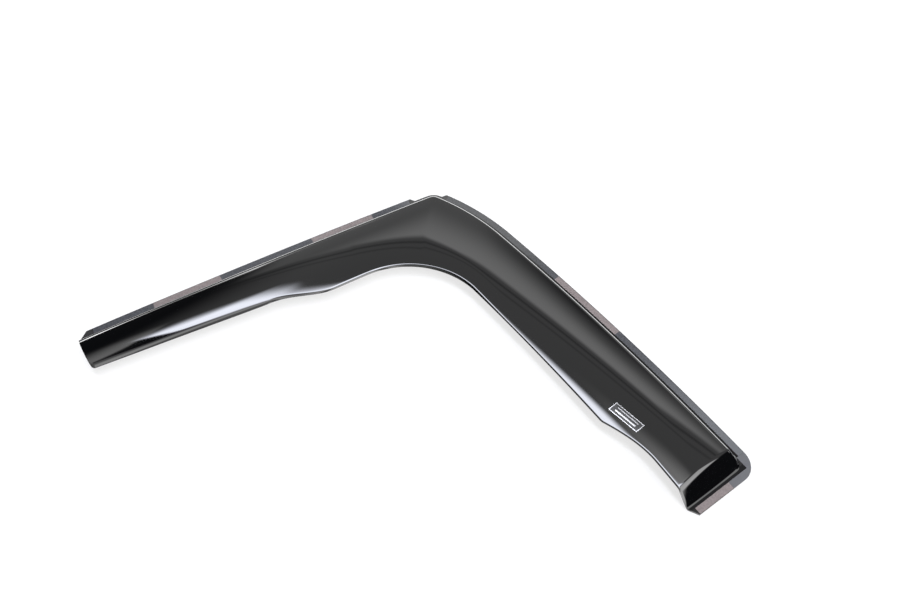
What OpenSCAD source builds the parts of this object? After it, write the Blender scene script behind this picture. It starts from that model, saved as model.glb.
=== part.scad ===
// Window rain deflector for a left front door: one thermoformed sheet of smoked acrylic, an L of two arms.
// It lies as on a table: fixing flange down, crowned face up. +X runs along the roof arm to its closed end,
// +Y points to the roof, and the pillar arm runs down towards -Y.
// The origin is the middle of the part's outline, on the face that meets the door.

/* [Arms] */
// Length of the roof arm, from the corner of the ridge to the outer side of the closed end
roof_len = 574; // [500:1:650]
// Length of the pillar arm, from the corner of the ridge to its open end
pillar_len = 515.5; // [430:0.5:600]
// Heading of the pillar arm, seen from above, from its open end to the corner
pillar_heading = 77.8; // [70:0.1:85]
// Heading of the roof arm where it leaves the corner
roof_heading = 21.2; // [15:0.1:26]
// Plan radius of the roof arm's first bend, next to the corner
roof_near_r = 327; // [260:1:420]
// Plan radius of the long roof arc beyond it
roof_far_r = 4020; // [2800:20:5600]
// How far the pillar arm bows outwards at its middle
pillar_bow = 3.2; // [0:0.1:8]
// Plan radius of the ridge at the corner of the L
ridge_corner_r = 8; // [6:0.5:14]
// Plan radius of the free edge in the inner corner
inner_corner_r = 117; // [95:0.5:135]

/* [Flange] */
// Width of the flat fixing flange
flange_w = 12.3; // [11:0.1:15]
// How far the relief notch cuts into the flange at the corner
notch_depth = 6.5; // [4:0.5:8]
// Length of the notch along the roof arm, from the corner of the ridge
notch_roof = 8.5; // [8:0.5:25]
// Length of the notch along the pillar arm, from the corner of the ridge
notch_pillar = 26; // [15:1:40]
// Length of the slanted sides of the notch
notch_side = 6; // [4:0.5:8]
// Radius of the step wall's foot in plan where it turns round the closed end
end_corner_r = 13; // [8:0.5:18]
// Chamfer of the flange's corner at the open end
open_chamfer = 10; // [6:0.5:14]
// How much narrower the closed end's flange gets towards its tip, where its corner is cut off
end_chamfer = 7; // [3:0.5:10]

/* [Sheet] */
// Thickness of the acrylic sheet
sheet_t = 3; // [2:0.1:3.5]
// Height of the ridge above the flange
step_h = 10.5; // [8:0.5:14]
// Slope of the step wall
wall_slope = 70; // [55:1:76]
// Radius at the foot of the step wall
foot_r = 1.5; // [1:0.1:2.5]
// Radius over the ridge
ridge_r = 4; // [3.6:0.1:5]
// Crown of the panel between the ridge and the free edge
crown_h = 4; // [2:0.25:7]
// Radius of the free edge where it curls down, along the lower half of the pillar arm
curl_r = 9; // [7:0.5:12]
// Radius of the tighter curl from there to the inner corner
curl_corner_r = 5; // [4:0.1:6]
// Where the curl starts to get tighter, from the corner of the ridge
curl_far = 330; // [310:5:380]
// Where the curl has got its tighter radius, from the corner of the ridge
curl_near = 225; // [180:5:250]
// Slope that the curl ends at on the pillar arm and at the inner corner
curl_slope = 62; // [45:1:70]
// Radius of the gentle curl along the roof arm
curl_roof_r = 11; // [8:0.5:16]
// Slope that the curl ends at on the roof arm
curl_roof_slope = 24; // [16:1:35]
// Length of the roof arm, from the corner of the ridge, over which the curl opens up
curl_opens = 250; // [150:5:300]
// Length along the arm over which the closed end's wall falls to the flange
end_wall_run = 26; // [22:0.5:32]
// Length along the arm of the bends at the top and at the foot of that wall
end_bend = 8; // [5:0.5:10]

/* [Panel] */
// Panel width at the open end of the pillar arm, from the ridge to the free edge
open_w = 50.5; // [45:0.5:60]
// Panel width on the pillar arm before it widens towards the corner
pillar_w = 68.5; // [60:0.5:74]
// Panel width where the pillar arm meets the inner corner
pillar_corner_w = 85.7; // [78:0.1:90]
// Panel width where the inner corner meets the roof arm
roof_corner_w = 92.6; // [84:0.1:96]
// Panel width at the bulge of the roof arm
bulge_w = 96.4; // [90:0.1:102]
// Panel width past the bulge
waist_w = 81; // [74:1:85]
// Panel width at the closed end
closed_w = 84; // [76:0.5:88]
// Where the bulge of the roof arm is, from the corner of the ridge
bulge_at = 422; // [390:1:450]
// Where the waist past the bulge is, from the corner of the ridge
waist_at = 496; // [465:1:515]
// Where the pillar arm starts to widen, from the corner of the ridge
widen_far = 280; // [255:1:310]
// Where the pillar arm has its full width, from the corner of the ridge
widen_near = 195; // [175:1:225]
// Height of the free edge above the flange, before its curl
edge_h = 16; // [12:0.5:20]
// How far the free edge's end stands back from the ridge's end, as the open end is cut aslant
open_setback = 6.5; // [0:0.5:10]
// Length of the pillar arm over which the sections turn into that slant
slant_run = 60; // [45:5:90]
// Radius that rounds the panel's corner at the open end
edge_corner_r = 5; // [3:0.5:9]

/* [Tape] */
// Thickness of the foam strips
foam_t = 1.2; // [0.8:0.1:2]
// Thickness of a release liner under its adhesive pad
liner_t = 0.2; // [0.1:0.05:0.3]
// Width of the foam strips and pads
tape_w = 8.5; // [6:0.5:10]
// Distance of the tape from the flange's outer edge
tape_inset = 0.6; // [0.3:0.1:1]
// Gap between one length of tape and the next
tape_gap = 1; // [0.5:0.25:3]
// Length of the two pads on the pillar arm
pillar_pad_len = 94; // [60:1:105]
// Length of the pad on the roof arm
roof_pad_len = 115; // [80:1:130]
// Share of the pillar arm's foam that lies before its lower pad
lower_foam_share = 0.293; // [0.2:0.005:0.35]
// Share of the pillar arm's foam that lies between its two pads
middle_foam_share = 0.491; // [0.4:0.005:0.55]
// Distance of the roof arm's pad from the corner of the ridge
roof_pad_at = 222; // [180:1:240]
// Bare flange at the open end, before the tape starts
tape_start = 18.5; // [14:0.5:30]
// How far the closed end's pad starts from the rounded corner of the flange
end_pad_short = 6; // [3:0.5:10]

/* [Hidden] */

// Levels
flange_under = foam_t;
flange_top = foam_t + sheet_t;

// Step wall in section: a foot fillet, a straight slope and the ridge, with q counted inwards from the ridge
wall_straight = (step_h - (foot_r + ridge_r) * (1 - cos(wall_slope))) / sin(wall_slope);
wall_run = (foot_r + ridge_r) * sin(wall_slope) + wall_straight * cos(wall_slope);
flange_q = -wall_run - flange_w;
end_outer_r = end_corner_r + flange_w - 1;
end_foot_at = roof_len - flange_w;
round_start = roof_len - end_outer_r;

// Ridge line: s is 0 at the corner, positive along the roof arm and negative along the pillar arm
corner_turn = pillar_heading - roof_heading;
corner_reach = ridge_corner_r * tan(corner_turn / 2);
near_len = roof_near_r * roof_heading * PI / 180;

function unit(v) = v / norm(v);
function dir(a) = [cos(a), sin(a)];
function inward(a) = [sin(a), -cos(a)];
function lerp(a, b, t) = a + (b - a) * t;
function clamp01(t) = min(1, max(0, t));
function ease(a, b, x) = let (t = clamp01((x - a) / (b - a))) t * t * (3 - 2 * t);

// Point and heading of the roof arm's ridge
function near_turn(s) = min(s, near_len) / roof_near_r * 180 / PI;
function far_turn(s) = max(0, s - near_len) / roof_far_r * 180 / PI;
function roof_head(s) = roof_heading - near_turn(s) - far_turn(s);
function near_point(s) = let (h = roof_heading - near_turn(s))
    roof_near_r * [sin(roof_heading) - sin(h), cos(h) - cos(roof_heading)];
function roof_point(s) = near_point(s) + roof_far_r * [sin(far_turn(s)), cos(far_turn(s)) - 1];

// Point and heading of the pillar arm's ridge, at a distance u from the corner
function pillar_point(u) = -u * dir(pillar_heading)
    - 4 * pillar_bow * (u / pillar_len) * (1 - u / pillar_len) * inward(pillar_heading);
function pillar_head(u) = pillar_heading + atan(4 * pillar_bow / pillar_len * (1 - 2 * u / pillar_len));

// Corner arc of the ridge, by the angle turned through
arc_start = -corner_reach * dir(pillar_heading);
arc_centre = arc_start + ridge_corner_r * inward(pillar_heading);
function arc_point(t) = arc_centre - ridge_corner_r * inward(pillar_heading - t * corner_turn);

function in_corner(s) = abs(s) < corner_reach;
function turned(s) = (s + corner_reach) / (2 * corner_reach);
function ridge_point(s) = in_corner(s) ? arc_point(turned(s)) : s < 0 ? pillar_point(-s) : roof_point(s);
function ridge_head(s) = in_corner(s) ? pillar_heading - turned(s) * corner_turn
    : s < 0 ? pillar_head(-s) : roof_head(s);

// Centre of the inner corner's arc: as far from both arms as their panels and the arc's radius ask
level_y = near_point(near_len)[1];
pillar_off = pillar_corner_w + inner_corner_r;
roof_off = roof_corner_w + inner_corner_r;
inner_y = level_y - roof_off;
inner_x = (pillar_off + inner_y * cos(pillar_heading)) / sin(pillar_heading);
inner_centre = [inner_x, inner_y];
fan_pillar = -inner_centre * dir(pillar_heading);
fan_roof = near_len + inner_x - near_point(near_len)[0];

// Direction across the panel at a station, and the panel's width along it
function across(s) = s < -fan_pillar || s > fan_roof ? inward(ridge_head(s))
    : unit(inner_centre - ridge_point(s));
function fan_w(s) = norm(inner_centre - ridge_point(s)) - inner_corner_r;
function pillar_panel_w(u) = u < widen_far ? lerp(pillar_w, pillar_edge_w, ease(widen_far, widen_near, u))
    : lerp(pillar_w, open_w, (u - widen_far) / (pillar_len - widen_far));
function roof_panel_w(s) =
    s < bulge_at ? lerp(roof_edge_w, bulge_w, clamp01((s - fan_roof) / (bulge_at - fan_roof)))
    : s < waist_at ? lerp(bulge_w, waist_w, sin(90 * (s - bulge_at) / (waist_at - bulge_at)))
    : lerp(waist_w, closed_w, clamp01((s - waist_at) / (end_foot_at - waist_at)));
pillar_edge_w = fan_w(-fan_pillar);
roof_edge_w = fan_w(fan_roof);
function panel_w(s) = s < -fan_pillar ? pillar_panel_w(-s) : s > fan_roof ? roof_panel_w(s) : fan_w(s);

// The closed end's flange narrows over its own width
function end_cut(s) = end_chamfer * clamp01((s - end_foot_at) / (roof_len - end_foot_at));

// How far a rounded corner of radius r pulls an edge in at x, where the corner ends at x = 0
function round_in(x, r) = x < -r ? 0 : r - sqrt(max(0, r * r - pow(x + r, 2)));
// The free edge's corner at the open end
function open_cut(s) = round_in(-pillar_len - s, edge_corner_r);

// Flange: its outer edge in section, with the notch and the rounded ends
function notch(s) = notch_depth * ease(-notch_pillar - notch_side / 2, -notch_pillar + notch_side / 2, s)
    * (1 - ease(notch_roof - notch_side / 2, notch_roof + notch_side / 2, s));
function outer_q(s) = flange_q + notch(s) + max(0, open_chamfer - (s + pillar_len))
    + round_in(s - roof_len, end_outer_r);
function wall_shift(s) = s > end_foot_at ? end_corner_r : round_in(s - end_foot_at, end_corner_r);

// The closed end: the whole section sinks from its full height to the flange
function end_fall(s) = let (t = clamp01((s - (end_foot_at - end_wall_run)) / end_wall_run))
    let (e = end_bend / end_wall_run)
    t < e ? 1 - t * t / (2 * e * (1 - e)) : t > 1 - e ? (1 - t) * (1 - t) / (2 * e * (1 - e))
    : 1 - (t - e / 2) / (1 - e);

// Heights above the flange
foot_steps = 3;
ridge_steps = 5;
panel_steps = 9;
curl_steps = 5;
wall_points = [
    for (k = [1:foot_steps]) let (a = wall_slope * k / foot_steps)
        [-wall_run + foot_r * sin(a), foot_r * (1 - cos(a))],
    for (k = [0:ridge_steps - 1]) let (a = wall_slope * (1 - k / ridge_steps))
        [-ridge_r * sin(a), step_h - ridge_r * (1 - cos(a))]];

// Panel: one smooth crowned face that the free edge is trimmed from. form_w is the width it is crowned over,
// without the trim's bulges, and down(s, q) is the angle at which it falls towards the free edge.
edge_rise = edge_h - step_h;
function opened(s) = ease(0, curl_opens, s);
function curl_size(s) = s > 0 ? lerp(curl_corner_r, curl_roof_r, opened(s))
    : lerp(curl_corner_r, curl_r, ease(curl_near, curl_far, -s));
function curl_end(s) = lerp(curl_slope, curl_roof_slope, opened(s));
function curl_reach(s) = curl_size(s) * sin(curl_end(s));
function crowned_w(s) =
    s < -fan_pillar ? lerp(pillar_edge_w, open_w, (-s - fan_pillar) / (pillar_len - fan_pillar))
    : s > fan_roof ? lerp(roof_edge_w, closed_w, (s - fan_roof) / (roof_len - fan_roof)) : fan_w(s);
function form_w(s) = crowned_w(s) - curl_reach(s);
function panel_z(s, q) = let (v = q / form_w(s)) step_h + edge_rise * v + 4 * crown_h * v * (1 - v);
function down(s, q) = let (v = q / form_w(s)) -atan((edge_rise + 4 * crown_h * (1 - 2 * v)) / form_w(s));

// One section: [q, height] pairs from the flange's outer edge to the free edge
function section(s) = let (
        w = panel_w(s) - open_cut(s) - end_cut(s),
        r = curl_size(s),
        curl_start = w - curl_reach(s),
        flat_w = curl_start + r * sin(down(s, curl_start)),
        flat_z = panel_z(s, flat_w),
        a0 = down(s, flat_w),
        shift = wall_shift(s),
        outer = outer_q(s),
        foot = shift - wall_run)
    [[outer, 0], [(outer + foot) / 2, 0], [foot, 0],
     for (p = wall_points) [shift + p[0], p[1]],
     for (k = [0:panel_steps]) let (t = k / panel_steps) [lerp(shift, flat_w, t), panel_z(s, t * flat_w)],
     for (k = [1:curl_steps]) let (a = lerp(a0, curl_end(s), k / curl_steps))
         [flat_w + r * (sin(a) - sin(a0)), flat_z - r * (cos(a0) - cos(a))]];

// Stations along the ridge, closer together where the form turns
function from_to(a, b, n) = [for (k = [1:n]) lerp(a, b, k / n)];
open_round = max(open_chamfer, edge_corner_r);
notch_far = -notch_pillar - notch_side;
notch_near = -notch_pillar + notch_side;
notch_start = max(notch_roof - notch_side / 2, corner_reach + 1);
stations = concat(
    [for (k = [0:5]) -pillar_len + open_round * (1 - cos(90 * k / 5))],
    from_to(-pillar_len + open_round, -widen_far, 16),
    from_to(-widen_far, -widen_near, 10),
    from_to(-widen_near, -fan_pillar, 4),
    from_to(-fan_pillar, notch_far, 8),
    from_to(notch_far, notch_near, 4),
    from_to(notch_near, -corner_reach, 3),
    from_to(-corner_reach, corner_reach, 5),
    from_to(corner_reach, notch_start, 1),
    from_to(notch_start, notch_roof + notch_side, 3),
    from_to(notch_roof + notch_side, fan_roof, 8),
    from_to(fan_roof, bulge_at, 10),
    from_to(bulge_at, waist_at, 6),
    from_to(waist_at, end_foot_at - end_wall_run, 4),
    from_to(end_foot_at - end_wall_run, end_foot_at, 8),
    [for (k = [1:5]) lerp(end_foot_at, roof_len, sin(90 * k / 5))]);

function place(s, q) = ridge_point(s) + q * (q < 0 ? inward(ridge_head(s)) : across(s));
// Sections near the open end lean, so that the free edge ends before the ridge does
function leaning(s, q) = s + open_setback * max(0, q) / open_w * (1 - clamp01((s + pillar_len) / slant_run));
function upper(s) = let (g = s > end_foot_at - end_wall_run ? end_fall(s) : 1)
    [for (p = section(s)) let (xy = place(leaning(s, p[0]), p[0])) [xy[0], xy[1], flange_top + g * p[1]]];

top_grid = [for (s = stations) upper(s)];
rows = len(stations);
cols = len(top_grid[0]);

// The lower face lies one sheet's thickness below the upper one, along its normal
function normal(j, i) = let (
        a = top_grid[min(j + 1, rows - 1)][i] - top_grid[max(j - 1, 0)][i],
        b = top_grid[j][min(i + 1, cols - 1)] - top_grid[j][max(i - 1, 0)],
        n = cross(a, b))
    unit(n[2] < 0 ? -n : n);
low_grid = [for (j = [0:rows - 1]) [for (i = [0:cols - 1]) top_grid[j][i] - sheet_t * normal(j, i)]];

// Where the origin is: the middle of the outline
outline = [for (r = top_grid) for (p = [r[0], r[cols - 1]]) p];
xs = [for (p = outline) p[0]];
ys = [for (p = outline) p[1]];
origin = [(min(xs) + max(xs)) / 2, (min(ys) + max(ys)) / 2, 0];

// Tape runs under the flange, from station to station
function tape_outline(s0, s1, n) = let (
        at = [for (k = [0:n]) lerp(s0, s1, k / n)],
        far = [for (s = at) place(s, outer_q(s) + tape_inset)],
        near = [for (k = [n:-1:0]) place(at[k], outer_q(at[k]) + tape_inset + tape_w)])
    concat(far, near);
function tape_steps(s0, s1) = max(2, ceil((s1 - s0) / 14));

module visor_shell() {
    color([0.09, 0.09, 0.1])
        translate(-origin)
            sheet_solid();
}

// The closed sheet: upper face, lower face and the four cut edges
module sheet_solid() {
    grid = rows * cols;
    points = [for (g = [top_grid, low_grid]) for (r = g) for (p = r) p];
    faces = [
        for (j = [0:rows - 2]) for (i = [0:cols - 2]) let (a = j * cols + i, b = a + cols)
            each [[a, b, b + 1], [a, b + 1, a + 1],
                  [grid + a, grid + b + 1, grid + b], [grid + a, grid + a + 1, grid + b + 1]],
        for (j = [0:rows - 2]) let (a = j * cols, b = a + cols)
            each [[a, grid + a, grid + b], [a, grid + b, b]],
        for (j = [0:rows - 2]) let (a = j * cols + cols - 1, b = a + cols)
            each [[a, grid + b, grid + a], [a, b, grid + b]],
        for (i = [0:cols - 2])
            each [[i, i + 1, grid + i + 1], [i, grid + i + 1, grid + i]],
        for (i = [0:cols - 2]) let (a = (rows - 1) * cols + i)
            each [[a, grid + a + 1, a + 1], [a, grid + a, grid + a + 1]]];
    polyhedron(points, faces);
}

module tape(s0, s1, z0, z1) {
    translate([-origin[0], -origin[1], z0])
        linear_extrude(z1 - z0)
            polygon(tape_outline(s0, s1, tape_steps(s0, s1)));
}

// Ends of the pads along the ridge. The pillar arm's two pads are spread over it, with foam around them.
foam_room = pillar_len - tape_start + notch_far - 2 * pillar_pad_len - 4 * tape_gap;
lower_pad_from = -pillar_len + tape_start + lower_foam_share * foam_room + tape_gap;
upper_pad_from = lower_pad_from + pillar_pad_len + middle_foam_share * foam_room + 2 * tape_gap;
pads = [[lower_pad_from, lower_pad_from + pillar_pad_len],
        [upper_pad_from, upper_pad_from + pillar_pad_len],
        [roof_pad_at, roof_pad_at + roof_pad_len]];

module adhesive_pad(k) {
    color([0.72, 0.62, 0.6])
        tape(pads[k][0], pads[k][1], liner_t, foam_t);
}

module release_liner(k) {
    color([0.78, 0.36, 0.33])
        tape(pads[k][0], pads[k][1], 0, liner_t);
}

// The pad across the closed end lies square to the roof arm
end_pad_from = end_outer_r - wall_run + end_pad_short;
end_pad_to = closed_w - end_chamfer - tape_inset;
module end_tape(z0, z1) {
    far = roof_len - tape_inset;
    translate([-origin[0], -origin[1], z0])
        linear_extrude(z1 - z0)
            polygon([for (c = [[far, end_pad_from], [far, end_pad_to],
                               [far - tape_w, end_pad_to], [far - tape_w, end_pad_from]])
                ridge_point(c[0]) + c[1] * inward(ridge_head(c[0]))]);
}

module foam_strip(s0, s1) {
    color([0.3, 0.31, 0.33])
        tape(s0, s1, 0, foam_t);
}

visor_shell();
adhesive_pad(0);  // adhesive_pad_1
adhesive_pad(1);  // adhesive_pad_2
adhesive_pad(2);  // adhesive_pad_3
color([0.72, 0.62, 0.6]) end_tape(liner_t, foam_t);  // adhesive_pad_4
release_liner(0);  // release_liner_1
release_liner(1);  // release_liner_2
release_liner(2);  // release_liner_3
color([0.78, 0.36, 0.33]) end_tape(0, liner_t);  // release_liner_4
foam_strip(-pillar_len + tape_start, pads[0][0] - tape_gap);  // foam_strip_1
foam_strip(pads[0][1] + tape_gap, pads[1][0] - tape_gap);  // foam_strip_2
foam_strip(pads[1][1] + tape_gap, notch_far);  // foam_strip_3
foam_strip(notch_roof + notch_side, pads[2][0] - tape_gap);  // foam_strip_4
foam_strip(pads[2][1] + tape_gap, round_start - tape_gap);  // foam_strip_5
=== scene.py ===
# %% [markdown]
# A window rain deflector is one sheet of smoked acrylic, formed hot over a mould and trimmed. A flat
# flange is taped to the door, a step wall lifts the sheet off it, and a crowned panel stands over the
# glass. Nearly everything that the eye sees on it is a reflection, so this lesson spends its effort on a
# smooth surface and on what it reflects.

# %% Load the measured part
import math
import bpy
import numpy as np
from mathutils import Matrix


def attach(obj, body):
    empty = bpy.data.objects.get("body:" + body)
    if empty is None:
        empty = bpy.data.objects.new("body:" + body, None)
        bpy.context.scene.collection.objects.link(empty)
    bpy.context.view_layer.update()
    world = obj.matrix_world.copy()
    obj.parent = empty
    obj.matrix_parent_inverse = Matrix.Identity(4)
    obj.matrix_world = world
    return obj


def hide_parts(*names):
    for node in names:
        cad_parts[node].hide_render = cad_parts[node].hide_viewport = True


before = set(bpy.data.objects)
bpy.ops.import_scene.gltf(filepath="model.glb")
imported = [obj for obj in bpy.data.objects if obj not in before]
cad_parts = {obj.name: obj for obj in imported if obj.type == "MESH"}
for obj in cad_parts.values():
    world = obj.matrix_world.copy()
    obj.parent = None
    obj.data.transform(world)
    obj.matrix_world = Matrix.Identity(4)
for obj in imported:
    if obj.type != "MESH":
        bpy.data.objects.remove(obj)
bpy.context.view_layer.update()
MM = 0.001
print("CAD nodes:", sorted(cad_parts))

# %% [markdown]
# The sheet is described the way its mould would be: a ridge line seen from above, and a section that
# travels along it. These are the same driving sizes as the part's own, in millimetres, so the smooth skin
# made here lies on the measured solid. Only the foot of the end wall bends more tightly here.

# %% Sizes of the arms and of the section
roof_len, pillar_len = 574.0, 515.5
pillar_heading, roof_heading = 77.8, 21.2
roof_near_r, roof_far_r = 327.0, 4020.0
pillar_bow = 3.2
ridge_corner_r, inner_corner_r = 8.0, 117.0
flange_w = 12.3
notch_depth, notch_roof, notch_pillar, notch_side = 6.5, 8.5, 26.0, 6.0
end_corner_r, edge_corner_r = 13.0, 5.0
open_chamfer, end_chamfer = 10.0, 7.0
open_setback, slant_run = 6.5, 60.0
sheet_t, step_h, wall_slope = 3.0, 10.5, 70.0
foot_r, ridge_r = 1.5, 4.0
crown_h, edge_h = 4.0, 16.0
curl_r, curl_corner_r, curl_roof_r = 9.0, 5.0, 11.0
curl_slope, curl_roof_slope = 62.0, 24.0
curl_far, curl_near, curl_opens = 330.0, 225.0, 250.0
end_wall_run, end_bend, end_foot_bend = 26.0, 8.0, 3.0
end_rim_trim = 1.0
foam_t = 1.2

# %% [markdown]
# The panel's width is given at a few stations, square to the ridge. Between them it changes by straight
# or eased stretches, as the photographed outline does.

# %% Widths of the panel, from the open end to the closed one
open_w, pillar_w, pillar_corner_w = 50.5, 68.5, 85.7
roof_corner_w, bulge_w, waist_w, closed_w = 92.6, 96.4, 81.0, 84.0
widen_far, widen_near, bulge_at, waist_at = 280.0, 195.0, 422.0, 496.0
print("panel widths:", open_w, "to", bulge_w, "mm")

# %% [markdown]
# The ridge line has three parts that meet without a kink: a straight arm with a slight bow, a small arc
# at the corner, and a roof arm that starts on a tight radius and runs out on a very long one. A position
# along it is one number, s, which is 0 at the corner, so every later shape can be placed by "how far
# along" and "how far across".


# %% The ridge line, seen from above
def heading(a):
    return np.array([math.cos(math.radians(a)), math.sin(math.radians(a))])


def inward(a):
    return np.array([math.sin(math.radians(a)), -math.cos(math.radians(a))])


corner_turn = pillar_heading - roof_heading
corner_reach = ridge_corner_r * math.tan(math.radians(corner_turn / 2))
near_len = roof_near_r * math.radians(roof_heading)
arc_centre = -corner_reach * heading(pillar_heading) + ridge_corner_r * inward(pillar_heading)


def near_point(s):
    h = math.radians(roof_heading) - min(s, near_len) / roof_near_r
    start = math.radians(roof_heading)
    return roof_near_r * np.array([math.sin(start) - math.sin(h), math.cos(h) - math.cos(start)])


def ridge(s):
    """Point of the ridge line at s, and its heading in degrees."""
    if abs(s) < corner_reach:
        a = pillar_heading - (s + corner_reach) / (2 * corner_reach) * corner_turn
        return arc_centre - ridge_corner_r * inward(a), a
    if s < 0:
        u = -s / pillar_len
        slope = math.degrees(math.atan(4 * pillar_bow / pillar_len * (1 - 2 * u)))
        bow = 4 * pillar_bow * u * (1 - u) * inward(pillar_heading)
        return s * heading(pillar_heading) - bow, pillar_heading + slope
    far = max(0.0, s - near_len) / roof_far_r
    point = near_point(s) + roof_far_r * np.array([math.sin(far), math.cos(far) - 1])
    return point, roof_heading - math.degrees(min(s, near_len) / roof_near_r + far)


print("ridge ends at", ridge(-pillar_len)[0].round(1), "and", ridge(roof_len)[0].round(1))

# %% [markdown]
# Round the inner corner the panel fans out from one centre. Outside that fan the section stands square to
# the ridge.


# %% The fan of the inner corner
inner_y = near_point(near_len)[1] - roof_corner_w - inner_corner_r
pillar_rad = math.radians(pillar_heading)
inner_x = (pillar_corner_w + inner_corner_r + inner_y * math.cos(pillar_rad)) / math.sin(pillar_rad)
inner_centre = np.array([inner_x, inner_y])
fan_pillar = float(-inner_centre @ heading(pillar_heading))
fan_roof = float(near_len + inner_x - near_point(near_len)[0])


def across(s):
    point, a = ridge(s)
    if s < -fan_pillar or s > fan_roof:
        return inward(a)
    to_centre = inner_centre - point
    return to_centre / np.linalg.norm(to_centre)


def fan_w(s):
    return float(np.linalg.norm(inner_centre - ridge(s)[0])) - inner_corner_r


def place(s, q):
    """Where the sheet is, seen from above. q counts from the ridge and is negative on the flange's side."""
    point, a = ridge(s)
    return point + q * (inward(a) if q < 0 else across(s))


print("fan from", round(-fan_pillar), "to", round(fan_roof), "mm")

# %% [markdown]
# The free edge isn't parallel to the ridge: the panel is narrow at the open end, widens before the
# corner, and has a bulge and a waist near the closed end. The crowned face itself ignores the bulge. A
# former presses one smooth surface and the trimming knife follows the outline, and reflections run
# straight through the bulge for that reason.


# %% Outline functions
def mix(a, b, t):
    return a + (b - a) * t


def clamp(t):
    return min(1.0, max(0.0, t))


def ease(a, b, x):
    t = clamp((x - a) / (b - a))
    return t * t * (3 - 2 * t)


def round_in(x, r):
    """How far a corner of radius r pulls an edge in, where the corner ends at x = 0."""
    return 0.0 if x < -r else r - math.sqrt(max(0.0, r * r - (x + r) ** 2))


pillar_edge_w, roof_edge_w = fan_w(-fan_pillar), fan_w(fan_roof)
end_foot_at = roof_len - flange_w


def panel_w(s):
    u = -s
    if u > fan_pillar:
        if u < widen_far:
            return mix(pillar_w, pillar_edge_w, ease(widen_far, widen_near, u))
        return mix(pillar_w, open_w, (u - widen_far) / (pillar_len - widen_far))
    if s <= fan_roof:
        return fan_w(s)
    if s < bulge_at:
        return mix(roof_edge_w, bulge_w, (s - fan_roof) / (bulge_at - fan_roof))
    if s < waist_at:
        return mix(bulge_w, waist_w, math.sin(math.pi / 2 * (s - bulge_at) / (waist_at - bulge_at)))
    return mix(waist_w, closed_w, clamp((s - waist_at) / (end_foot_at - waist_at)))


def crowned_w(s):
    if -s > fan_pillar:
        return mix(pillar_edge_w, open_w, (-s - fan_pillar) / (pillar_len - fan_pillar))
    if s > fan_roof:
        return mix(roof_edge_w, closed_w, (s - fan_roof) / (roof_len - fan_roof))
    return fan_w(s)


print("widest", round(max(panel_w(s) for s in range(-500, 560, 5)), 1), "mm")

# %% [markdown]
# One section, from the flange's outer edge to the free edge: flat flange, foot fillet, straight wall,
# round ridge, crowned panel, and the curl that turns the edge down. Each stretch gets as many points as
# its bend needs, because a mirror-like skin shows every facet.

# %% The step wall in section
wall_rad = math.radians(wall_slope)
wall_straight = (step_h - (foot_r + ridge_r) * (1 - math.cos(wall_rad))) / math.sin(wall_rad)
wall_run = (foot_r + ridge_r) * math.sin(wall_rad) + wall_straight * math.cos(wall_rad)
flange_q = -wall_run - flange_w
end_outer_r = end_corner_r + flange_w - end_rim_trim


def curl(s):
    """Radius of the curl at s, and the slope that it ends at."""
    opened = ease(0, curl_opens, s)
    if s > 0:
        slope = mix(curl_slope, curl_roof_slope, opened)
        return mix(curl_corner_r, curl_roof_r, opened), math.radians(slope)
    return mix(curl_corner_r, curl_r, ease(curl_near, curl_far, -s)), math.radians(curl_slope)


def curl_reach(s):
    r, end = curl(s)
    return r * math.sin(end)


flange_steps, foot_steps, ridge_steps, panel_steps, curl_steps = 5, 6, 14, 44, 16


def outer_q(s):
    half = notch_side / 2
    notch = ease(-notch_pillar - half, -notch_pillar + half, s)
    notch *= 1 - ease(notch_roof - half, notch_roof + half, s)
    chamfer = max(0.0, open_chamfer - (s + pillar_len))
    return flange_q + notch_depth * notch + chamfer + round_in(s - roof_len, end_outer_r)


def wall_points():
    foot = [wall_rad * k / foot_steps for k in range(1, foot_steps + 1)]
    roll = [wall_rad * (1 - k / ridge_steps) for k in range(ridge_steps)]
    return [(-wall_run + foot_r * math.sin(a), foot_r * (1 - math.cos(a))) for a in foot] \
        + [(-ridge_r * math.sin(a), step_h - ridge_r * (1 - math.cos(a))) for a in roll]


def panel_z(s, q):
    v = q / (crowned_w(s) - curl_reach(s))
    return step_h + (edge_h - step_h) * v + 4 * crown_h * v * (1 - v)


def down(s, q):
    """Angle at which the panel falls towards the free edge."""
    form_w = crowned_w(s) - curl_reach(s)
    return -math.atan((edge_h - step_h + 4 * crown_h * (1 - 2 * q / form_w)) / form_w)


print("wall runs", round(wall_run, 2), "mm inwards while it climbs", step_h)


# %% [markdown]
# At the closed end the whole section sinks down to the flange, over a wall that is as long as its run
# says. Its upper bend is wide and its foot is tight, since the former's lower rim is the sharper one.

# %% One whole section
def end_fall(s):
    """Share of its height that the section keeps: it sinks to the flange over the closed end's wall."""
    t = clamp((s - (end_foot_at - end_wall_run)) / end_wall_run)
    top, foot = end_bend / end_wall_run, end_foot_bend / end_wall_run
    steep = 1 / (1 - top / 2 - foot / 2)
    if t < top:
        return 1 - steep * t * t / (2 * top)
    if t > 1 - foot:
        return steep * (1 - t) ** 2 / (2 * foot)
    return 1 - steep * (t - top / 2)


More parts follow.
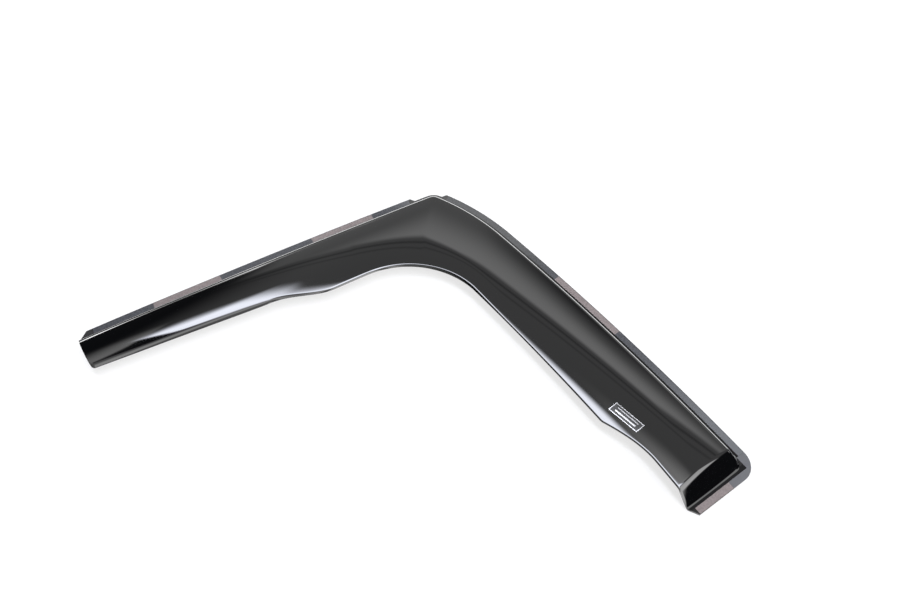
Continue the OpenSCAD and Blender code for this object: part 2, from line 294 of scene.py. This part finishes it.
def section(s):
    w = panel_w(s) - round_in(-pillar_len - s, edge_corner_r)
    w -= end_chamfer * clamp((s - end_foot_at) / flange_w)
    r, end = curl(s)
    flat_w = w - curl_reach(s) + r * math.sin(down(s, w - curl_reach(s)))
    a0 = down(s, flat_w)
    flat_z = panel_z(s, flat_w)
    shift = end_corner_r if s > end_foot_at else round_in(s - end_foot_at, end_corner_r)
    outer = outer_q(s)
    points = [(mix(outer, shift - wall_run, k / flange_steps), 0.0) for k in range(flange_steps + 1)]
    points += [(shift + q, z) for q, z in wall_points()]
    shares = [k / panel_steps for k in range(panel_steps + 1)]
    points += [(mix(shift, flat_w, v), panel_z(s, flat_w * v)) for v in shares]
    for k in range(1, curl_steps + 1):
        a = mix(a0, end, k / curl_steps)
        run, fall = r * (math.sin(a) - math.sin(a0)), r * (math.cos(a0) - math.cos(a))
        points.append((flat_w + run, flat_z - fall))
    return points


print("points in a section:", len(section(0)))

# %% [markdown]
# Sections are set along the ridge, closely where the form turns. The lower face is the upper one moved in
# by the sheet's thickness along its own normals, as on a real sheet, and four strips of faces close the
# trimmed edges.


# %% Stations along the ridge
def spaced(a, b, step):
    return list(np.linspace(a, b, max(2, int(round((b - a) / step)) + 1))[1:])


open_steps, closed_steps, before_wall = 10, 14, 4
straight_step, chamfer_step, bend_step, foot_step = 3, 1, 0.8, 0.5
open_round = [edge_corner_r * (1 - math.cos(math.pi / 2 * k / open_steps)) for k in range(open_steps + 1)]
closed_round = [math.sin(math.pi / 2 * k / closed_steps) for k in range(1, closed_steps + 1)]
notch_from, notch_to = -notch_pillar - 2 * notch_side, notch_roof + 2 * notch_side
end_wall_from = end_foot_at - end_wall_run - before_wall
stations = [-pillar_len + x for x in open_round]
stations += spaced(-pillar_len + edge_corner_r, -pillar_len + open_chamfer, chamfer_step)
stations += spaced(-pillar_len + open_chamfer, notch_from, straight_step)
stations += spaced(notch_from, notch_to, bend_step)
stations += spaced(notch_to, end_wall_from, straight_step)
stations += spaced(end_wall_from, end_foot_at - end_foot_bend, bend_step)
stations += spaced(end_foot_at - end_foot_bend, end_foot_at, foot_step)
stations += [mix(end_foot_at, roof_len, t) for t in closed_round]
print("stations:", len(stations))

# %% [markdown]
# The open end is trimmed aslant, so the last sections lean: a point further across also sits further
# along. The normals come from the cross product of the grid's two directions, and the sheet's thickness
# is laid off on them.

# %% Upper and lower grids of points
flange_top = foam_t + sheet_t


def leaning(s, q):
    """Sections near the open end lean, so that the free edge ends before the ridge does."""
    return s + open_setback * max(0.0, q) / open_w * (1 - clamp((s + pillar_len) / slant_run))


def upper_row(s):
    sink = end_fall(s)
    return [(*place(leaning(s, q), q), flange_top + sink * z) for q, z in section(s)]


upper = np.array([upper_row(s) for s in stations])
along = np.gradient(upper, axis=0)
over = np.gradient(upper, axis=1)
normals = np.cross(over, along)
normals /= np.linalg.norm(normals, axis=-1, keepdims=True)
normals *= np.where(normals[..., 2:] < 0, -1.0, 1.0)
lower = upper - sheet_t * normals
outline = np.concatenate([upper[:, 0, :2], upper[:, -1, :2]])
origin = (outline.min(axis=0) + outline.max(axis=0)) / 2
print("grid", upper.shape[:2], "origin", origin.round(2))


# %% [markdown]
# A second set of coordinates goes on the mesh as a UV map: u is the distance along the ridge and v the
# distance across it, both in metres. Finishes that follow the sheet, such as tape seen through the
# flange, can then be placed by the same two numbers as the solids under it. The skin is drawn in by less
# than a part in a thousand, so that it stays inside the solid's box.

# %% The skin of the visor
def to_frame(points):
    moved = np.array(points, float).reshape(-1, 3)
    moved[:, :2] -= origin
    return moved * MM


def grid_faces(rows, cols, first, flip):
    faces = []
    for j in range(rows - 1):
        for i in range(cols - 1):
            a = first + j * cols + i
            quad = (a, a + 1, a + cols + 1, a + cols)
            faces.append(quad[::-1] if flip else quad)
    return faces


def rim_faces(loop, offset):
    return [(a, b, b + offset, a + offset) for a, b in zip(loop, loop[1:] + loop[:1])]


def add_mesh(name, points, faces, sheet_uv):
    mesh = bpy.data.meshes.new(name)
    mesh.from_pydata(points.tolist(), [], faces)
    layer = mesh.uv_layers.new(name="sheet")
    corner_vertex = np.empty(len(mesh.loops), int)
    mesh.loops.foreach_get("vertex_index", corner_vertex)
    layer.data.foreach_set("uv", np.asarray(sheet_uv, np.float32)[corner_vertex].ravel())
    mesh.shade_smooth()
    mesh.update()
    piece = bpy.data.objects.new(name, mesh)
    bpy.context.scene.collection.objects.link(piece)
    return piece


rows, cols = upper.shape[:2]
count = rows * cols
keep_inside = 0.9992
skin_points = to_frame(np.concatenate([upper.reshape(-1, 3), lower.reshape(-1, 3)])) * keep_inside
boundary = [j * cols for j in range(rows)] + [(rows - 1) * cols + i for i in range(1, cols)] \
    + [j * cols + cols - 1 for j in range(rows - 2, -1, -1)] + list(range(cols - 2, 0, -1))
skin_faces = grid_faces(rows, cols, 0, True) + grid_faces(rows, cols, count, False)
skin_faces += rim_faces(boundary, count)
skin_uv = np.array([(s, q) for s in stations for q, _ in section(s)]) * MM
visor = add_mesh("visor_skin", skin_points, skin_faces, np.concatenate([skin_uv, skin_uv]))
print("visor skin:", len(skin_faces), "faces")

# %% [markdown]
# A trimmed acrylic edge is scraped, not knife sharp. A narrow bevel with hardened normals catches the
# light there and leaves the wide faces as smooth as they are.

# %% Trimmed edges
edge_break, sharp_from = 0.35, 50
rounding = visor.modifiers.new("edge break", "BEVEL")
rounding.width = edge_break * MM
rounding.segments = 2
rounding.limit_method = "ANGLE"
rounding.angle_limit = math.radians(sharp_from)
rounding.harden_normals = True
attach(visor, "root")
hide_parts("visor_shell")
print("edges broken by", edge_break, "mm")

# %% [markdown]
# Shading is written as sums. A Wire is one socket of a node tree: its operators add Math nodes, and one
# method adds any other node from its type, its settings and the values of its sockets.


# %% A socket that can be written in sums
class Wire:
    def __init__(self, tree, socket=None):
        self.tree = tree
        self.socket = socket

    def node(self, kind, settings=None, inputs=None, out=0):
        made = self.tree.nodes.new(kind)
        for name, value in (settings or {}).items():
            setattr(made, name, value)
        for name, value in (inputs or {}).items():
            if isinstance(value, Wire):
                self.tree.links.new(value.socket, made.inputs[name])
            else:
                made.inputs[name].default_value = value
        return Wire(self.tree, made.outputs[out])

    def math(self, operation, first, second=0.0):
        return self.node("ShaderNodeMath", {"operation": operation}, {0: first, 1: second})

    def __add__(self, other):
        return self.math("ADD", self, other)

    def __radd__(self, other):
        return self.math("ADD", other, self)

    def __sub__(self, other):
        return self.math("SUBTRACT", self, other)

    def __rsub__(self, other):
        return self.math("SUBTRACT", other, self)

    def __mul__(self, other):
        return self.math("MULTIPLY", self, other)

    def __rmul__(self, other):
        return self.math("MULTIPLY", other, self)

    def step(self, low, high):
        """0 below low, 1 above high, and a smooth rise between them."""
        return self.node("ShaderNodeMapRange", {"interpolation_type": "SMOOTHSTEP"},
                         {"Value": self, "From Min": low, "From Max": high})

    def within(self, low, high, soft):
        return self.step(low - soft, low + soft) * (1 - self.step(high - soft, high + soft))

    def colour(self, first, second):
        """first where this mask is 0, second where it is 1."""
        return self.node("ShaderNodeMix", {"data_type": "RGBA"}, {0: self, 6: first, 7: second}, out=2)


def finish(name):
    """A new material, a Wire to write its shading with, and its Principled shader."""
    material = bpy.data.materials.new(name)
    material.use_nodes = True
    tree = material.node_tree
    return material, Wire(tree), tree.nodes["Principled BSDF"]


def plug(shader, **values):
    """Sets or links sockets of a shader, by their names with _ for a space."""
    for name, value in values.items():
        socket = shader.inputs[name.replace("_", " ")]
        if isinstance(value, Wire):
            value.tree.links.new(value.socket, socket)
        else:
            socket.default_value = value


print("shading helpers ready")

# %% [markdown]
# The flange lies flat on its tape, so the grey foam and the reddish liner under it show through the
# smoke. Their places are the same driving sizes as the part's own: a stretch of the ridge for each pad
# and each foam strip.

# %% Where the tape lies
tape_w, tape_inset, tape_gap = 8.5, 0.6, 1.0
pillar_pad_len, roof_pad_len = 94.0, 115.0
lower_pad_at, upper_pad_at, roof_pad_at = -416.0, -186.0, 222.0
tape_start, end_pad_short = 18.5, 6.0
past_foam = roof_len - end_outer_r - tape_gap
pads = [(lower_pad_at, lower_pad_at + pillar_pad_len), (upper_pad_at, upper_pad_at + pillar_pad_len),
        (roof_pad_at, roof_pad_at + roof_pad_len)]
foam_runs = [(tape_start - pillar_len, -notch_pillar - notch_side), (notch_roof + notch_side, past_foam)]
end_pad_q = (end_outer_r - wall_run + end_pad_short, closed_w - end_chamfer - tape_inset)
print("pads from", pads)

# %% [markdown]
# A mask is 1 where a finish lies and 0 elsewhere. Each one is a band along the ridge times a band across
# it, read from the UV map, so the bands bend with the sheet. Their borders are half a millimetre wide,
# which keeps them crisp without a jagged edge. The narrow strips between the tape and each wall, and the
# foot of the end wall, are never wiped or polished, so they get a mask too and lose their clear coat.

# %% Masks that follow the sheet
acrylic, ink, acrylic_shader = finish("smoked acrylic")
sheet = ink.node("ShaderNodeUVMap", {"uv_map": "sheet"})
places = ink.node("ShaderNodeSeparateXYZ", inputs={"Vector": sheet})
s_at = places * (1 / MM)
q_at = Wire(ink.tree, places.socket.node.outputs[1]) * (1 / MM)
crisp = 0.25
tape_from = flange_q + tape_inset
tape_band = q_at.within(tape_from, tape_from + tape_w, crisp)
foam_mask = tape_band * sum(s_at.within(a, b, crisp) for a, b in foam_runs)
end_tape_from = roof_len - tape_inset - tape_w
end_band = s_at.within(end_tape_from, end_tape_from + tape_w, crisp)
end_pad_mask = end_band * q_at.within(*end_pad_q, crisp)
liner_mask = tape_band * sum(s_at.within(a, b, crisp) for a, b in pads) + end_pad_mask
wall_strip = q_at.within(tape_from + tape_w + crisp, -wall_run, crisp)
wall_strip = wall_strip * (1 - s_at.step(past_foam, past_foam + crisp))
end_foot_strip = s_at.within(end_foot_at - end_foot_bend, end_tape_from - crisp, crisp)
dull_strip = wall_strip + end_foot_strip
print("tape band from", round(tape_from, 2), "to", round(tape_from + tape_w, 2))

# %% [markdown]
# Where no tape lies, the bare ends of the flange rest almost on the white table, and some of its white
# comes through the smoke. That white is painted light laid into the base colour, and at the closed end
# it is painted lighter still, as painted light from the brighter floor on that side. The step wall stands
# higher and stays black.

# %% Masks of the bare ends
foot_soft = 0.3
before_end_tape = 1 - s_at.step(end_tape_from - crisp, end_tape_from)
beside_wall = 1 - q_at.step(-wall_run - foot_soft, -wall_run) * before_end_tape
open_end = 1 - s_at.step(tape_start - pillar_len, tape_start - pillar_len + crisp)
closed_corner = s_at.step(past_foam, past_foam + crisp)
before_end_pad = 1 - q_at.step(end_pad_q[0] - crisp, end_pad_q[0])
bare_mask = beside_wall * (open_end + closed_corner) * before_end_pad
print("bare flange up to", round(tape_start - pillar_len), "and from", round(past_foam), "mm")

# %% [markdown]
# Smoked acrylic is almost black in this thickness, with a polished skin. A clear coat over a dark base
# gives both the depth and the strong reflection. A truly clear material would need light to pass twice
# through the sheet in every renderer, so the tape's colours are laid into the base colour here. Fine
# noise gives them the grain of foam. Towards the closed end the foam is painted paler and plain, a
# painted reflection of the bright ceiling in the flange, and along the roof arm near the corner it is
# painted darker, as painted shade.

# %% Smoked acrylic
smoke_black = (0.0015, 0.0016, 0.0019, 1)
# Painted light: the table's white seen through the bare flange, lighter at the closed end.
bare_open, bare_closed_painted_light = (0.030, 0.030, 0.031, 1), (0.100, 0.102, 0.110, 1)
foam_dark, foam_seen = (0.042, 0.044, 0.050, 1), (0.064, 0.066, 0.074, 1)
# Painted reflection: a paler, plain foam tone for the closed end's stretch.
foam_painted_reflection = (0.105, 0.109, 0.117, 1)
# Painted shade: darker copies of the foam tones for the roof arm near the corner.
corner_foam_painted_shade_dark, corner_foam_painted_shade_seen = (0.010, 0.011, 0.014, 1), (0.028, 0.030, 0.034, 1)
liner_dark, liner_seen = (0.158, 0.136, 0.135, 1), (0.208, 0.176, 0.174, 1)
painted_reflection_reach, painted_shade_reach, lighter_towards_closed_end = (360, 520), (0, 190, 30), (500, 560)
foam_cells, grain_range = {"Scale": 420.0, "Detail": 3.0, "Roughness": 0.7}, (0.35, 0.65)
on_object = ink.node("ShaderNodeTexCoord", out="Object")
grain = ink.node("ShaderNodeTexNoise", inputs={"Vector": on_object, **foam_cells}).step(*grain_range)
# Painted reflection: towards the closed end the foam turns paler and loses its grain.
foam_tone = s_at.step(*painted_reflection_reach).colour(grain.colour(foam_dark, foam_seen), foam_painted_reflection)
# Painted shade: near the corner on the roof arm the foam is painted darker.
foam_tone = s_at.within(*painted_shade_reach).colour(foam_tone, grain.colour(corner_foam_painted_shade_dark, corner_foam_painted_shade_seen))
# Painted light on the bare flange, rising towards the closed end.
painted_table_light = s_at.step(*lighter_towards_closed_end).colour(bare_open, bare_closed_painted_light)
sheet_tone = foam_mask.colour(bare_mask.colour(smoke_black, painted_table_light), foam_tone)
sheet_tone = liner_mask.colour(sheet_tone, grain.colour(liner_dark, liner_seen))
plug(acrylic_shader, Base_Color=sheet_tone, Roughness=0.05, IOR=1.49,
     Coat_Weight=1 - dull_strip, Coat_Roughness=0.03, Coat_IOR=1.5)
visor.data.materials.append(acrylic)
print("acrylic nodes:", len(acrylic.node_tree.nodes))

# %% [markdown]
# The tapes are the part's own solids. They only need their finish: dull foam, pale adhesive and a red
# peel-off film.


# %% Foam, adhesive and liner
def plain_finish(name, colour, rough):
    material, _, shader = finish(name)
    plug(shader, Base_Color=(*colour, 1), Roughness=rough)
    return material


tape_finishes = {
    "foam_strip": plain_finish("grey foam", (0.085, 0.088, 0.095), 0.9),
    "adhesive_pad": plain_finish("adhesive", (0.40, 0.37, 0.35), 0.6),
    "release_liner": plain_finish("red liner film", (0.52, 0.12, 0.09), 0.35),
}
for node_name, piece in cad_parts.items():
    for start, material in tape_finishes.items():
        if node_name.startswith(start):
            piece.data.materials.clear()
            piece.data.materials.append(material)
print("tapes finished:", sum(n.startswith(tuple(tape_finishes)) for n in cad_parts))

# %% [markdown]
# Such parts carry a small foil label near the closed end. Here it is a bare one: a silver frame and two
# plain bars on black film. It is a thin skin laid on the panel, a twentieth of a millimetre proud, and
# its design is drawn in its own coordinates, which run from 0 to 1 in both directions.

# %% The label's place and mesh
label_at, label_len, label_w = 436.9, 43.0, 13.5
label_start_q, label_end_q = 72.5, 67.2
label_lift = 0.05
label_cols, label_rows = 40, 12


def label_point(u, v):
    s = label_at + (u - 0.5) * label_len
    q = mix(label_start_q, label_end_q, u) + (v - 0.5) * label_w
    return (*place(s, q), flange_top + panel_z(s, q) + label_lift)


label_uv = [(u, v) for v in np.linspace(0, 1, label_rows + 1) for u in np.linspace(0, 1, label_cols + 1)]
label = add_mesh("label", to_frame([label_point(u, v) for u, v in label_uv]),
                 grid_faces(label_rows + 1, label_cols + 1, 0, True), label_uv)
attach(label, "root")
print("label at", to_frame([label_point(0.5, 0.5)])[0].round(4))

# %% [markdown]
# The print is drawn with bands again. The silver parts are metallic and the film between them is black
# and glossy, so one mask drives both the colour and the metal.

# %% The label's finish
silver, label_black = (0.52, 0.52, 0.53, 1), (0.006, 0.006, 0.007, 1)
label_film, pen, film_shader = finish("label film")
label_sheet = pen.node("ShaderNodeUVMap", {"uv_map": "sheet"})
spots = pen.node("ShaderNodeSeparateXYZ", inputs={"Vector": label_sheet})
across_label = Wire(pen.tree, spots.socket.node.outputs[1])
frame_u, frame_v, bar_u = 0.022, 0.07, 0.14
soft_u, bar_soft_u, soft_v = 0.006, 0.01, 0.02
inner = spots.within(frame_u, 1 - frame_u, soft_u) * across_label.within(frame_v, 1 - frame_v, soft_v)
thin_bar = across_label.within(0.27, 0.34, soft_v)
wide_bar = across_label.within(0.58, 0.72, soft_v)
bars = spots.within(bar_u, 1 - bar_u, bar_soft_u) * (thin_bar + wide_bar)
shine = 1 - inner * (1 - bars)
plug(film_shader, Base_Color=shine.colour(label_black, silver), Metallic=shine, Roughness=0.3,
     Coat_Weight=1.0)
label.data.materials.append(label_film)
print("label nodes:", len(label_film.node_tree.nodes))

# %% [markdown]
# The camera stands over the part's lower right and looks down on it at a steep angle, with a moderately
# wide lens. Its place comes from the photographed geometry: how the two arms converge fixes the angle and
# the distance.

# %% Camera
camera_data = bpy.data.cameras.new("camera")
sensor_w, focal_px, picture_px = 36, 770, 920
camera_data.sensor_width = sensor_w
camera_data.lens = sensor_w * focal_px / picture_px
camera_data.clip_end = 50
camera = bpy.data.objects.new("camera", camera_data)
bpy.context.scene.collection.objects.link(camera)
ridge_corner_to_camera = (606.5, -481.2, 854.2)
look_heading, look_down = 138.68, 55.5
camera.location = to_frame([ridge_corner_to_camera])[0].tolist()
camera.rotation_euler = (math.radians(90 - look_down), 0, math.radians(look_heading - 90))
bpy.context.scene.camera = camera
print("camera at", [round(v, 3) for v in camera.location])

# %% [markdown]
# A black mirror shows the room, so the room has to be designed. It is painted into the world by
# direction, which has no noise and soft borders. Two angles, in degrees, name a direction: tilt_away
# leans from straight up towards the far side of the table, and to_right leans to the right. Both belong
# to the room and stay put when the camera moves.

# %% The studio's two angles
world = bpy.data.worlds.new("studio")
bpy.context.scene.world = world
world.use_nodes = True
sky = Wire(world.node_tree)
direction = sky.node("ShaderNodeTexCoord", out="Generated")
room_heading = math.radians(48.68)
right_axis = (math.cos(room_heading), math.sin(room_heading), 0.0)
away_axis = (-math.sin(room_heading), math.cos(room_heading), 0.0)
up_axis = (0.0, 0.0, 1.0)


def along_axis(axis):
    return sky.node("ShaderNodeVectorMath", {"operation": "DOT_PRODUCT"}, {0: direction, 1: axis}, out=1)


degree = 180 / math.pi
tilt_away = sky.math("ARCTAN2", along_axis(away_axis), along_axis(up_axis)) * degree
to_right = sky.math("ARCSINE", along_axis(right_axis)) * degree
to_left = 0 - to_right
print("studio axes", [round(v, 3) for v in right_axis], [round(v, 3) for v in away_axis])


# %% Bands and distances between directions
def smooth_band(value, low, high, soft_low, soft_high):
    return value.step(low - soft_low, low + soft_low) * (1 - value.step(high - soft_high, high + soft_high))


def beyond(value, limit):
    """How far value goes past the limit, and 0 before it."""
    return sky.math("MAXIMUM", value - limit, 0.0)


left_of_middle = beyond(to_left, 0.0)
print("helpers for the studio ready")

# %% [markdown]
# The strong highlight on the pillar arm is a long soft box, a little askew to the table. Its near side is
# crisp at the left end and blurs to the right, and its far side fades, because it leans away. Light
# through its cloth is slightly blue.

# %% Its soft box
box_level, box_left, box_right, box_ends = 10.5, -18.0, 18.0, (2, 6)
near_slant, near_offset, near_crisp, near_blur, blur_grows = 1.23, 2.1, 0.8, 6.0, (-13, -7)
far_slant, far_at, far_bulge, bulge_lies = 0.9, 15.2, 3.0, (-14, -9, 1.5)
cut_from, cut_share = 13.0, 1.6
far_crisp, fade_from, fade_share = 3.0, 5.0, 0.45
over_near = tilt_away + to_right * near_slant + near_offset
near_soft = near_crisp + to_right.step(*blur_grows) * near_blur
over_box = tilt_away + to_right * far_slant
box_far = far_at + to_right.within(*bulge_lies) * far_bulge - beyond(to_left, cut_from) * cut_share
far_soft = far_crisp + beyond(to_left, fade_from) * fade_share
soft_box = over_near.step(0 - near_soft, near_soft)
soft_box = soft_box * (1 - over_box.step(box_far - far_soft, box_far + far_soft))
soft_box = soft_box * smooth_band(to_right, box_left, box_right, *box_ends)
print("box level", box_level)

# %% [markdown]
# Overhead is a dim ceiling, and beyond it a large grey bounce panel, whose edge draws the long soft line
# that runs down both arms. The panel fades with distance, and faster to its right. Two seams of the
# ceiling make the thin dark lines beside its edge.

# %% Its ceiling and bounce panel
ceiling_level, ceiling_grows = 0.42, (-28, -12)
seam_depth, upper_seam, lower_seam, lower_seam_share = 0.5, (2.2, 3.2, 0.5), (5.2, 6.0, 0.5), 0.7
panel_level, panel_fade, fade_tilts = 1.45, 0.95, (38, 58)
right_fade, right_fade_tilts, right_fade_sides = 0.45, (40, 49), (8, 26)
panel_edge_at, panel_soft, panel_left = 38.0, 1.3, (-25, -19)
rise_from, rise_share = 24.0, 0.5
panel_edge = panel_edge_at + left_of_middle + beyond(to_right, rise_from) * rise_share
below_panel = panel_edge - tilt_away
seams = below_panel.within(*upper_seam) + below_panel.within(*lower_seam) * lower_seam_share
ceiling = to_right.step(*ceiling_grows) * ceiling_level * (1 - seams * seam_depth)
panel = panel_level - tilt_away.step(*fade_tilts) * panel_fade
panel = panel - tilt_away.step(*right_fade_tilts) * to_right.step(*right_fade_sides) * right_fade
on_panel = (tilt_away - panel_edge).step(-panel_soft, panel_soft) * to_right.step(*panel_left)
print("ceiling", ceiling_level, "panel", panel_level)

# %% [markdown]
# To the right stands a bright wall, which lights the rim of the closed end, with a weaker glow before it.
# To the left is a dim flank. Between the flank and the soft box a dark wedge is left open, and it is what
# cuts the highlight to a sharp point near the open end.

# %% Its side walls and the dark wedge
wall_level, wall_side, wall_top = 3.2, (21, 27), (13, 21)
glow_level, glow_band, glow_top = 1.6, (3, 14, 5, 2), (12, 24)
flank_level, flank_slope, flank_at, flank_soft = 1.1, 0.222, -13.4, 0.4
flank_band, flank_tilts = (-3, 0, 3, flank_soft), (-12, 30, 10, 7)
wedge_soft, wedge_bottom, wedge_right = 0.8, (-16, -8), (-10, -2)
right_wall = to_right.step(*wall_side) * (1 - tilt_away.step(*wall_top)) * wall_level
right_glow = smooth_band(to_right, *glow_band) * (1 - tilt_away.step(*glow_top)) * glow_level
past_flank = to_right + tilt_away * flank_slope - flank_at
flank = smooth_band(past_flank, *flank_band) * smooth_band(tilt_away, *flank_tilts) * flank_level
dark_wedge = (1 - over_near.step(-wedge_soft, wedge_soft)) * past_flank.step(-flank_soft, flank_soft)
dark_wedge = dark_wedge * over_box.step(*wedge_bottom) * (1 - to_right.step(*wedge_right))
print("flank", flank_level, "wall", wall_level)

# %% [markdown]
# Low down beyond the table hangs a bright white sweep, the source of the thin white line along the ridge.
# The front is dim and the far right is black. A little light from everywhere keeps the black from being
# empty.

# %% Its bright sweep, and the sum
dark_level, dark_side = 0.01, (45, 52)
front_level, front_tilts = 0.4, (-25, 0)
sweep_level, sweep_at, sweep_soft, left_rise = 6.0, 63.0, 1.5, 0.3
far_left_from, far_left_rise, far_right_from, far_right_drop = 24.0, 0.9, 20.0, 0.5
sweep_edge = sweep_at + left_of_middle * left_rise + beyond(to_left, far_left_from) * far_left_rise
sweep_edge = sweep_edge - beyond(to_right, far_right_from) * far_right_drop
sweep = (tilt_away - sweep_edge).step(-sweep_soft, sweep_soft)
front = (1 - tilt_away.step(*front_tilts)) * front_level
dark_right = to_right.step(*dark_side)
overhead = ceiling + on_panel * (panel - ceiling) + right_wall + right_glow
studio = (overhead * (1 - sweep) + sweep * sweep_level + front) * (1 - dark_wedge) * (1 - dark_right)
studio = studio + soft_box * box_level + flank + dark_level
print("sweep", sweep_level, "front", front_level)

# %% [markdown]
# The camera's own rays see plain white in every direction, so the page behind the part is white and the
# part is lit by the studio alone.

# %% What the camera sees of the world
camera_ray = sky.node("ShaderNodeLightPath", out="Is Camera Ray")
grey_light = studio * (1 - camera_ray) + camera_ray
box_light = soft_box * box_level * (1 - camera_ray)
box_tint = (-0.05, -0.02, 0.09)
red_green_blue = [grey_light + box_light * share for share in box_tint]
light = sky.node("ShaderNodeCombineXYZ", inputs=dict(enumerate(red_green_blue)))
plug(world.node_tree.nodes["Background"], Color=light, Strength=1.0)
print("world nodes:", len(world.node_tree.nodes))

# %% [markdown]
# The floor is a wide white sheet. For the camera's own rays, and for those that come off a mirror or
# through glass, part of its white comes from the floor itself. So the page looks white while the part
# keeps a soft shadow on it.

# %% Floor
floor_half = 6.0
floor_mesh = bpy.data.meshes.new("floor")
floor_corners = [(x * floor_half, y * floor_half, 0) for x, y in ((-1, -1), (1, -1), (1, 1), (-1, 1))]
floor_mesh.from_pydata(floor_corners, [], [(0, 1, 2, 3)])
floor = bpy.data.objects.new("floor", floor_mesh)
bpy.context.scene.collection.objects.link(floor)
paper, brush, paper_shader = finish("white table")
table_white, own_white = (0.8, 0.8, 0.8, 1), 0.7
plug(paper_shader, Base_Color=table_white, Roughness=0.9, Specular_IOR_Level=0.1)
glow = brush.node("ShaderNodeEmission", inputs={"Color": (1, 1, 1, 1), "Strength": 1.0})
lit = Wire(brush.tree, paper_shader.outputs[0])
own_rays = [brush.node("ShaderNodeLightPath", out=kind)
            for kind in ("Is Camera Ray", "Is Glossy Ray", "Is Transmission Ray")]
seen_or_mirrored = brush.math("MAXIMUM", brush.math("MAXIMUM", own_rays[0], own_rays[1]), own_rays[2])
mixed = brush.node("ShaderNodeMixShader", inputs={0: seen_or_mirrored * own_white, 1: lit, 2: glow})
brush.tree.links.new(mixed.socket, brush.tree.nodes["Material Output"].inputs["Surface"])
floor_mesh.materials.append(paper)
print("floor", 2 * floor_half, "m wide")

# %% [markdown]
# The Standard view shows each colour as it is written, without a film look.

# %% Colour management
bpy.context.scene.view_settings.view_transform = "Standard"
print("view:", bpy.context.scene.view_settings.view_transform)
